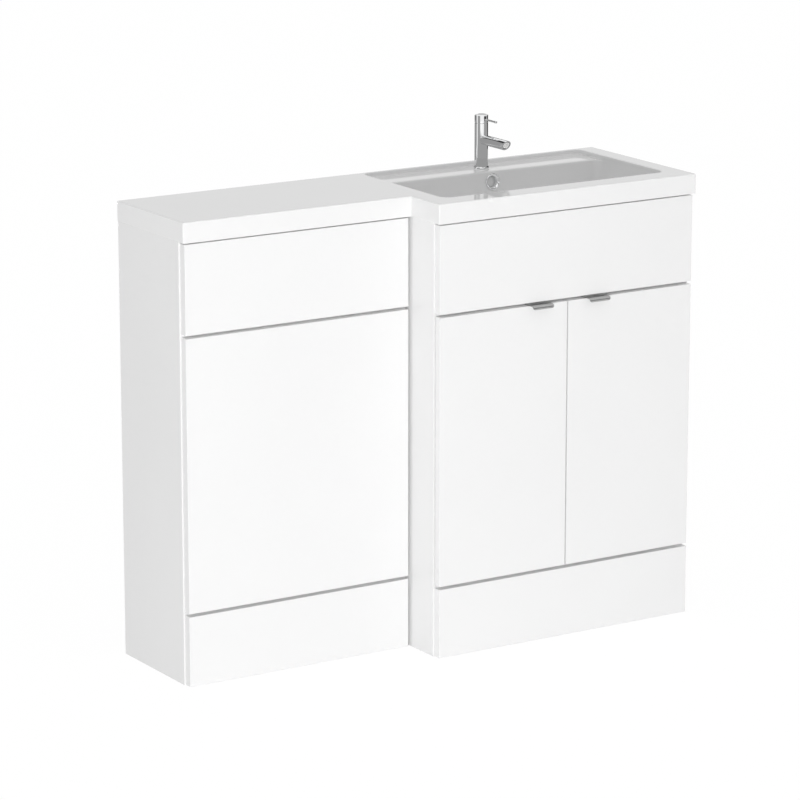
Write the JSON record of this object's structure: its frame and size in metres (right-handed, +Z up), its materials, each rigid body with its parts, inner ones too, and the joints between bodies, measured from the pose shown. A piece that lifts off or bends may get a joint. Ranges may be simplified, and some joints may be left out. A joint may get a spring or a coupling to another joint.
{
  "type": "toilet and basin combination unit",
  "caption": "White gloss bathroom furniture run: a slim back-to-wall toilet unit beside a deeper basin cupboard with doors, under one L-shaped moulded top with a basin and mono mixer tap.",
  "frame": {"origin": "on the floor, at the middle of the whole object's width and depth", "axes": "+X to the right seen from the front, +Y to the wall, +Z up"},
  "size_m": [1.104, 0.3704, 1.0035],
  "materials": {
    "gloss_front": "white gloss lacquer on fibreboard",
    "carcass_board": "white gloss faced board",
    "cast_resin": "white gloss gel coat on cast resin stone",
    "chrome": "polished chrome",
    "brushed_handle": "satin chrome plate",
    "steel": "nickel plated steel",
    "brass": "plain turned brass",
    "beech": "plain beech",
    "white_plastic": "moulded white plastic",
    "soft_rubber": "matt rubber"
  },
  "bodies": {
    "root": {"wc_side_left": "carcass_board", "wc_side_right": "carcass_board", "wc_top_front_rail": "carcass_board", "wc_top_back_rail": "carcass_board", "wc_mid_rail": "carcass_board", "wc_low_rail": "carcass_board", "wc_panel": "gloss_front", "wc_plinth": "gloss_front", "wc_fascia_sockets": "white_plastic", "vanity_side_left": "carcass_board", "vanity_side_right": "carcass_board", "vanity_bottom": "carcass_board", "vanity_top_front_rail": "carcass_board", "vanity_mid_rail": "carcass_board", "vanity_low_rail": "carcass_board", "vanity_top_back_rail": "carcass_board", "vanity_fascia": "gloss_front", "vanity_plinth": "gloss_front", "shelf": "carcass_board", "shelf_pins": "steel", "door_buffers": "soft_rubber", "hinge_arms": "steel", "hinge_pins": "steel", "hinge_plates": "steel", "hinge_plate_screws": "steel", "carcass_dowels": "beech", "front_screws": "steel", "cabinet_bolts": "steel", "basin_top": "cast_resin", "overflow_ring": "chrome", "waste_body": "chrome", "waste_seal": "soft_rubber", "waste_nut": "white_plastic", "trap_union_nut": "white_plastic", "trap_inlet": "white_plastic", "trap_body": "white_plastic", "trap_cup": "white_plastic", "trap_outlet_nut": "white_plastic", "tap_body": "chrome", "tap_foot_ring": "chrome", "tap_cartridge": "white_plastic", "aerator": "white_plastic", "tap_stud": "steel", "tap_clamp_washer": "steel", "tap_stud_nut": "brass"},
    "door_left": {"door_left": "gloss_front", "handle_left": "brushed_handle", "handle_screws_left": "steel", "hinge_cups_left": "steel"},
    "door_right": {"door_right": "gloss_front", "handle_right": "brushed_handle", "handle_screws_right": "steel", "hinge_cups_right": "steel"},
    "links_left": {"hinge_links_left": "steel"},
    "links_right": {"hinge_links_right": "steel"},
    "fascia": {"wc_fascia": "gloss_front", "wc_fascia_studs": "white_plastic"},
    "tap_cap": {"tap_cap": "chrome"},
    "tap_lever": {"tap_lever": "chrome"},
    "plug": {"waste_plug": "chrome"}
  },
  "joints": [
    {"name": "door_left_hinge", "type": "hinge", "parent": "root", "child": "door_left", "pos_m": [-0.0415, -0.16375, 0.413], "axis": [0, 0, -1], "range_deg": [0, 95]},
    {"name": "door_right_hinge", "type": "hinge", "parent": "root", "child": "door_right", "pos_m": [0.5415, -0.16375, 0.413], "axis": [0, 0, 1], "range_deg": [0, 95]},
    {"name": "links_left_turn", "type": "hinge", "parent": "root", "child": "links_left", "pos_m": [-0.02019, -0.15423, 0.413], "axis": [0, 0, 1], "range_deg": [-0.5, 36.5]},
    {"name": "links_right_turn", "type": "hinge", "parent": "root", "child": "links_right", "pos_m": [0.52019, -0.15423, 0.413], "axis": [0, 0, -1], "range_deg": [-0.5, 36.5]},
    {"name": "fascia_pull", "type": "slide", "parent": "root", "child": "fascia", "axis": [0, -1, 0], "range_m": [0, 0.012]},
    {"name": "tap_temperature", "type": "hinge", "parent": "root", "child": "tap_cap", "pos_m": [0.252, 0.14325, 0.99], "axis": [0, 0, 1], "range_deg": [-45, 45]},
    {"name": "tap_flow", "type": "hinge", "parent": "tap_cap", "child": "tap_lever", "pos_m": [0.252, 0.14325, 0.99575], "axis": [-1, 0, 0], "range_deg": [0, 15]},
    {"name": "plug_press", "type": "slide", "parent": "root", "child": "plug", "axis": [0, 0, 1], "range_m": [-0.008, 0]}
  ],
  "couplings": [
    {"joint": "links_left_turn", "follows": "door_left_hinge", "ratio": 0.37774},
    {"joint": "links_right_turn", "follows": "door_right_hinge", "ratio": 0.37774}
  ]
}
